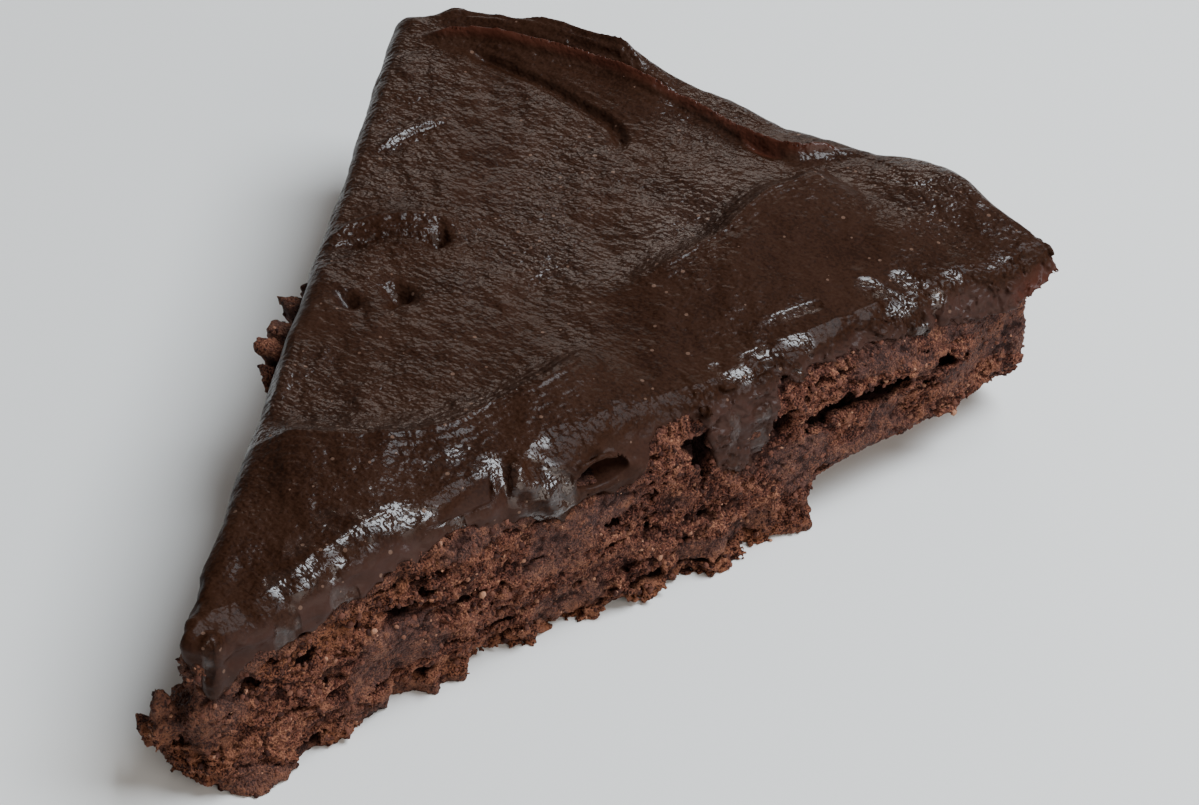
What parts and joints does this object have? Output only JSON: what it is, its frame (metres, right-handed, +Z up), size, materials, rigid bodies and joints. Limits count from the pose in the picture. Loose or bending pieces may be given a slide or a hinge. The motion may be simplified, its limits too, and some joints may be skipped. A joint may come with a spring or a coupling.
{
  "type": "slice of chocolate cake",
  "caption": "Wedge of low chocolate cake with a crumbly cut face and a thick rolled coat of fudge frosting, lying flat on its base.",
  "frame": {"origin": "centre of the slice's bounding box, on the plane of its base", "axes": "+Y along the slice from its tip to the cake's rim, +X across it towards the front cut face, +Z up from the base"},
  "size_m": [0.0959, 0.1162, 0.028],
  "materials": {
    "sponge": "open, crumbly reddish brown chocolate sponge, dry and dull, with dark pores",
    "frosting": "very dark brown fudge frosting with a half-gloss skin, fine ripples and knife strokes, wetter where it rolls over the cut"
  },
  "bodies": {
    "root": {"sponge": "sponge", "frosting": "frosting"}
  },
  "joints": []
}
